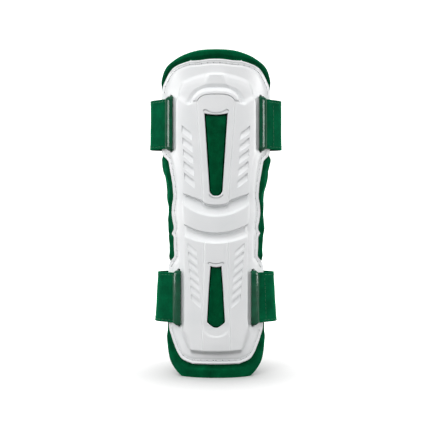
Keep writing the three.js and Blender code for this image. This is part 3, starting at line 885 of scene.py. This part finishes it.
def strap_reach(name):
    """Reach of a strap at its lower and its upper edge."""
    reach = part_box(f"{name}_strap")[1].x / MM
    taper = {"upper": 0.4, "lower": 2.6}[name]
    return reach, reach - taper


def strap_form(name):
    """Heights of a strap's two edges, and its line along each of them."""
    low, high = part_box(f"{name}_strap")
    return low.z / MM, high.z / MM, [whole_strap_line(name, reach) for reach in strap_reach(name)]


def strap_place(line_low, line_high, index, share, z, lift):
    """A point of a strap: along its line, across its width, and out from its middle line."""
    def middle(i):
        i = max(0, min(len(line_low) - 1, i))
        return line_low[i].lerp(line_high[i], share)
    along = (middle(index + 1) - middle(index - 1)).normalized()
    place = middle(index) + Vector((-along.y, along.x)) * lift
    return Vector((place.x, place.y, z)) * MM


def sew_strap(name):
    """An elastic strap with a hem along each edge and a lap on the right, sewn beside its bar."""
    bottom, top, lines = strap_form(name)
    width = top - bottom
    from_edge = [0, 0.35, 0.8, 1.3, 1.7, 2.1, 2.5, 3, 3.6, 4.4, 6] + [8.5 + 2.8 * i for i in range(5)]
    rows = [r / width for r in from_edge] + [0.5] + [1 - r / width for r in reversed(from_edge)]
    count = len(lines[0])
    face = STRAP_THICKNESS / 2 - 0.25
    hem_step = 0.22

    def place(column, row):
        share = rows[row]
        z = blend(bottom, top, share)
        hem = min(share, 1 - share) * width
        lift = face + hem_step * (1 - ease(hem, 3.2, 4.2))
        lift -= hem_step * math.exp(-((hem - HEM_INSET) / 0.45) ** 2)
        x, y = lines[0][column]
        if y < STRAPS[name]["seam_depth"] and 0 < x < STRAPS[name]["seam"]:
            lift += 0.3
        from_slot = min(column, count - 1 - column)
        free = ease(from_slot, 14, 24)
        lift += 0.3 * free * noise.noise(Vector((column * 0.16, z * 0.07, bottom)))
        return strap_place(*lines, column, share, z, lift)

    strap = new_sheet(f"elastic_{name}_strap", count - 1, len(rows) - 1, place)
    apply_modifier(strap, "SOLIDIFY", thickness=(STRAP_THICKNESS - 0.3) * MM, offset=1)
    round_edges(strap, 0.45, 3, 60)
    pick(strap)
    bpy.ops.object.shade_smooth()
    return strap


def strap_stitches(name):
    """Short stitches along both hems, outside and inside, and down the seam of the lap."""
    bottom, top, lines = strap_form(name)
    outside = STRAP_THICKNESS / 2 - 0.22
    inside = outside - (STRAP_THICKNESS - 0.3) - 0.05
    paths = []
    for z in (bottom + HEM_INSET, top - HEM_INSET):
        share = (z - bottom) / (top - bottom)
        for lift in (outside, inside):
            line = [strap_place(*lines, i, share, z, lift) for i in range(8, len(lines[0]) - 8)]
            paths += dashes(line, *STRAP_STITCH)
    seam = STRAPS[name]["seam"]
    column = max(i for i in range(len(lines[0])) if lines[0][i].y < 10 and lines[0][i].x > seam + 0.8)
    shares = [i / 20 for i in range(1, 20)]
    line = [strap_place(*lines, column, i, blend(bottom, top, i), outside + 0.2) for i in shares]
    paths += dashes(line, *STRAP_STITCH)
    stitches = new_rods(f"{name}_strap_stitching", paths, 0.17, 1)
    bpy.ops.object.shade_smooth()
    return stitches


def dashes(line, length, gap):
    """Short stretches of a line of points in metres, each with its ends sunk a little."""
    lengths = [0]
    for start, end in zip(line, line[1:]):
        lengths.append(lengths[-1] + (end - start).length / MM)
    pieces = []
    start = gap
    while start + length < lengths[-1]:
        pieces.append([point_at(line, lengths, start + length * share) for share in (0, 0.5, 1)])
        start += length + gap
    return pieces


def point_at(line, lengths, distance):
    index = min(bisect.bisect_right(lengths, distance), len(line) - 1)
    share = (distance - lengths[index - 1]) / (lengths[index] - lengths[index - 1])
    return line[index - 1].lerp(line[index], share)


# Materials

def linear(hex_colour):
    """An sRGB colour such as F2F3F4, as linear red, green, blue and alpha."""
    values = []
    for start in (0, 2, 4):
        share = int(hex_colour[start: start + 2], 16) / 255
        values.append(share / 12.92 if share <= 0.04045 else ((share + 0.055) / 1.055) ** 2.4)
    return (*values, 1)


def add_node(material, kind, inputs, **settings):
    """Adds a node. inputs maps an input's name or number to a value or to another node's output."""
    node = material.node_tree.nodes.new(kind)
    for name, value in settings.items():
        setattr(node, name, value)
    for name, value in inputs.items():
        if isinstance(value, bpy.types.NodeSocket):
            material.node_tree.links.new(value, node.inputs[name])
        else:
            node.inputs[name].default_value = value
    return node


def new_material(name):
    material = bpy.data.materials.new(name)
    material.use_nodes = True
    shader = material.node_tree.nodes["Principled BSDF"]
    place = add_node(material, "ShaderNodeTexCoord", {}).outputs["Object"]
    return material, shader, place


def set_inputs(material, shader, inputs):
    for name, value in inputs.items():
        if isinstance(value, bpy.types.NodeSocket):
            material.node_tree.links.new(value, shader.inputs[name])
        else:
            shader.inputs[name].default_value = value


def per_mm(size):
    """Noise scale whose features are about that many millimetres wide."""
    return 1 / (size * MM)


def colours_between(material, factor, stops):
    ramp = add_node(material, "ShaderNodeValToRGB", {"Fac": factor})
    elements = ramp.color_ramp.elements
    while len(elements) < len(stops):
        elements.new(0.5)
    for element, (position, colour) in zip(elements, stops):
        element.position = position
        element.color = linear(colour)
    return ramp.outputs["Color"]


def moulded_polypropylene():
    """Injection-moulded polypropylene: waxy white, satin, with a fine spark-eroded skin."""
    material, shader, place = new_material("moulded_white_polypropylene")
    cloud = add_node(material, "ShaderNodeTexNoise", {"Vector": place, "Scale": per_mm(28), "Detail": 2})
    skin = add_node(material, "ShaderNodeTexNoise", {"Vector": place, "Scale": per_mm(0.6), "Detail": 3})
    tone = colours_between(material, cloud.outputs["Fac"], [(0.35, "F3F4F5"), (0.65, "EDEFF0")])
    gloss = add_node(material, "ShaderNodeMapRange", {
        "Value": cloud.outputs["Fac"], "From Min": 0.3, "From Max": 0.7, "To Min": 0.36, "To Max": 0.46,
    })
    bump = add_node(material, "ShaderNodeBump", {
        "Height": skin.outputs["Fac"], "Strength": 0.12, "Distance": 0.05 * MM,
    })
    set_inputs(material, shader, {
        "Base Color": tone, "Roughness": gloss.outputs["Result"], "Normal": bump.outputs["Normal"],
        "IOR": 1.49, "Specular IOR Level": 0.35,
    })
    return material


def velour(name, dark, middle, light, nap):
    """Brushed nylon velour: a short dense nap with soft patches where the nap lies another way.
    It is dark from straight on and bright where it is seen edge on: partly the shader's own sheen,
    partly a painted sheen, a lighter green mixed into the base colour where the surface turns edge on."""
    material, shader, place = new_material(name)
    patches = add_node(material, "ShaderNodeTexNoise", {
        "Vector": place, "Scale": per_mm(9), "Detail": 3, "Roughness": 0.6,
    })
    fibres = add_node(material, "ShaderNodeTexNoise", {
        "Vector": place, "Scale": per_mm(nap), "Detail": 4, "Roughness": 0.7,
    })
    mixed = add_node(material, "ShaderNodeMath", {0: patches.outputs["Fac"], 1: 0.55}, operation="MULTIPLY")
    mottle = add_node(material, "ShaderNodeMath", {
        0: fibres.outputs["Fac"], 1: 0.45, 2: mixed.outputs[0],
    }, operation="MULTIPLY_ADD")
    tone = colours_between(material, mottle.outputs[0], [(0.32, dark), (0.5, middle), (0.7, light)])
    bump = add_node(material, "ShaderNodeBump", {
        "Height": fibres.outputs["Fac"], "Strength": 0.6, "Distance": 0.25 * MM,
    })
    # Painted sheen: a brighter green mixed into the base colour where the surface is seen edge on
    painted_sheen_mask = add_node(material, "ShaderNodeLayerWeight", {"Blend": 0.3}).outputs["Facing"]
    painted_sheen_colour = add_node(material, "ShaderNodeMix", {
        "Factor": painted_sheen_mask, "A": tone, "B": linear("0E7C55"),
    }, data_type="RGBA")
    set_inputs(material, shader, {
        "Base Color": painted_sheen_colour.outputs["Result"], "Normal": bump.outputs["Normal"], "Roughness": 0.95,
        "Specular IOR Level": 0.02, "Sheen Weight": 1, "Sheen Roughness": 0.32,
        "Sheen Tint": linear("00C87C"),
    })
    return material


def glossy_nylon():
    """Glossy moulded nylon, bottle green: clear reflections with a faint flow ripple."""
    material, shader, place = new_material("glossy_green_nylon")
    flow = add_node(material, "ShaderNodeTexNoise", {"Vector": place, "Scale": per_mm(7), "Detail": 2})
    tone = colours_between(material, flow.outputs["Fac"], [(0.35, "064A31"), (0.65, "0A563A")])
    bump = add_node(material, "ShaderNodeBump", {
        "Height": flow.outputs["Fac"], "Strength": 0.2, "Distance": 0.12 * MM,
    })
    set_inputs(material, shader, {
        "Base Color": tone, "Normal": bump.outputs["Normal"], "Roughness": 0.16, "IOR": 1.53,
        "Specular IOR Level": 0.1,
    })
    return material


def spun_thread(name, colour):
    """Polyester sewing thread: two plies, so its surface has a fine slanting twist."""
    material, shader, place = new_material(name)
    twist = add_node(material, "ShaderNodeTexWave", {
        "Vector": place, "Scale": per_mm(2.4), "Distortion": 1.5,
    }, bands_direction="DIAGONAL")
    dark = linear(colour)
    darker = tuple(value * 0.72 for value in dark[:3]) + (1,)
    tone = add_node(material, "ShaderNodeMix", {"Factor": twist.outputs["Fac"], "A": darker, "B": dark},
                    data_type="RGBA")
    bump = add_node(material, "ShaderNodeBump", {
        "Height": twist.outputs["Fac"], "Strength": 0.5, "Distance": 0.06 * MM,
    })
    set_inputs(material, shader, {
        "Base Color": tone.outputs["Result"], "Normal": bump.outputs["Normal"], "Roughness": 0.6,
    })
    return material


def studio_paper():
    """Seamless white background paper. A painted glow grows with distance from the guard, so the paper is
    pure white away from it and darker near it, where the real contact shadow falls.
    """
    material, shader, place = new_material("white_studio_paper")
    tooth = add_node(material, "ShaderNodeTexNoise", {"Vector": place, "Scale": per_mm(3), "Detail": 2})
    tone = colours_between(material, tooth.outputs["Fac"], [(0.3, "D4D4D4"), (0.7, "D6D6D6")])
    away = add_node(material, "ShaderNodeVectorMath", {0: place}, operation="LENGTH").outputs["Value"]
    # Painted light: the paper glows more the farther it is from the guard, which leaves it darker round the
    # guard's foot
    painted_glow = add_node(material, "ShaderNodeMapRange", {
        "Value": away, "From Min": 0.03, "From Max": 0.2, "To Min": 0.02, "To Max": 1,
    })
    set_inputs(material, shader, {
        "Base Color": tone, "Roughness": 0.9, "Specular IOR Level": 0.1,
        "Emission Color": linear("FFFFFF"), "Emission Strength": painted_glow.outputs["Result"],
    })
    return material


def dress(piece, material):
    piece.data.materials.clear()
    piece.data.materials.append(material)


# Build

def build_guard():
    white = moulded_polypropylene()
    cover = velour("green_velour_cover", "00371E", "004D2C", "006339", 0.7)
    strap_cover = velour("green_velour_tape", "003B21", "005231", "00693F", 0.9)
    nylon = glossy_nylon()
    white_thread = spun_thread("white_polyester_thread", "E4E6E7")
    green_thread = spun_thread("green_polyester_thread", "0B6B45")

    def finish(piece, material, slot, *nodes):
        dress(piece, material)
        if nodes:
            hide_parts(*nodes)
        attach(piece, "root")
        return piece

    finish(mould_shell(), white, "moulded_white", "shell")
    finish(flange_stitches(), white_thread, "moulded_white")
    pad = finish(stuff_pad(), cover, "green_velour", "pad")
    for name, window in WINDOWS.items():
        inlay = stuff_inlay(f"raised_{name}_inlay", *window)
        finish(inlay, cover, "green_velour", f"{name}_inlay")
    for name in STRAPS:
        for side_name, side in (("left", -1), ("right", 1)):
            bar = f"{name}_{side_name}_bar"
            finish(form_bar(bar, name, side), nylon, "glossy_green", bar)
        finish(sew_strap(name), strap_cover, "green_velour", f"{name}_strap")
        finish(strap_stitches(name), green_thread, "green_velour")


def set_stage():
    """A seamless sweep: a floor that turns up into a wall behind the guard."""
    width, front, back, sweep, height = 9, -2.5, 1.6, 0.9, 4.5
    profile = [(front, 0), (back, 0)]
    profile += [
        (back + sweep * math.sin(angle), sweep - sweep * math.cos(angle))
        for angle in (math.pi / 2 * step / 16 for step in range(1, 17))
    ]
    profile.append((back + sweep, height))

    def place(column, row):
        y, z = profile[row]
        return Vector((width * (column / 2 - 0.5), y, z))

    paper = new_sheet("studio_sweep", 2, len(profile) - 1, place)
    pick(paper)
    bpy.ops.object.shade_smooth()
    dress(paper, studio_paper())
    # The paper throws no light back up under the guard
    paper.visible_diffuse = False
    paper.visible_shadow = False


def add_light(name, place, aim, size, power):
    light = bpy.data.lights.new(name, "AREA")
    light.shape = "RECTANGLE"
    light.size, light.size_y = size
    light.energy = power
    lamp = bpy.data.objects.new(name, light)
    bpy.context.collection.objects.link(lamp)
    lamp.location = place
    lamp.rotation_euler = (Vector(aim) - Vector(place)).to_track_quat("-Z", "Y").to_euler()
    return lamp


def light_studio():
    """A bright ceiling, a key above and in front, and on each side a wide panel that fills the
    relief and a narrow tall box that only gloss shows."""
    centre = (0, 0, 0.145)
    add_light("key_softbox", (-0.35, -1.05, 1.2), centre, (1.1, 1.1), 9)
    for name, side in (("left", -1), ("right", 1)):
        panel = add_light(f"{name}_side_panel", (side * 1.3, -0.22, 0.35), centre, (0.8, 0.9), 3.5)
        panel.visible_glossy = False
        box = add_light(f"{name}_gloss_box", (side * 1.05, -0.33, 0.3), centre, (0.2, 0.6), 13)
        box.visible_diffuse = False
    world = bpy.data.worlds.new("soft_room")
    world.use_nodes = True
    direction = add_node(world, "ShaderNodeTexCoord", {}).outputs["Generated"]
    up = add_node(world, "ShaderNodeSeparateXYZ", {0: direction}).outputs["Z"]
    share = add_node(world, "ShaderNodeMapRange", {"Value": up, "From Min": -1}).outputs["Result"]
    tone = colours_between(world, share, [(0.15, "5A5A5A"), (0.5, "A6A6A6"), (0.85, "FFFFFF")])
    background = world.node_tree.nodes["Background"]
    world.node_tree.links.new(tone, background.inputs["Color"])
    background.inputs["Strength"].default_value = 1
    bpy.context.scene.world = world
    bpy.context.scene.view_settings.view_transform = "Standard"


def place_camera():
    """Level and in front of the guard's middle, as in the photograph."""
    distance, height, aside = 700, 142.5, -0.85
    camera = bpy.data.cameras.new("camera")
    camera.lens = 66.9
    camera.sensor_width = 36
    holder = bpy.data.objects.new("camera", camera)
    bpy.context.collection.objects.link(holder)
    holder.location = Vector((aside, bend_shift - distance, height)) * MM
    holder.rotation_euler = (math.pi / 2, 0, 0)
    bpy.context.scene.camera = holder


place_camera()
light_studio()
set_stage()
build_guard()
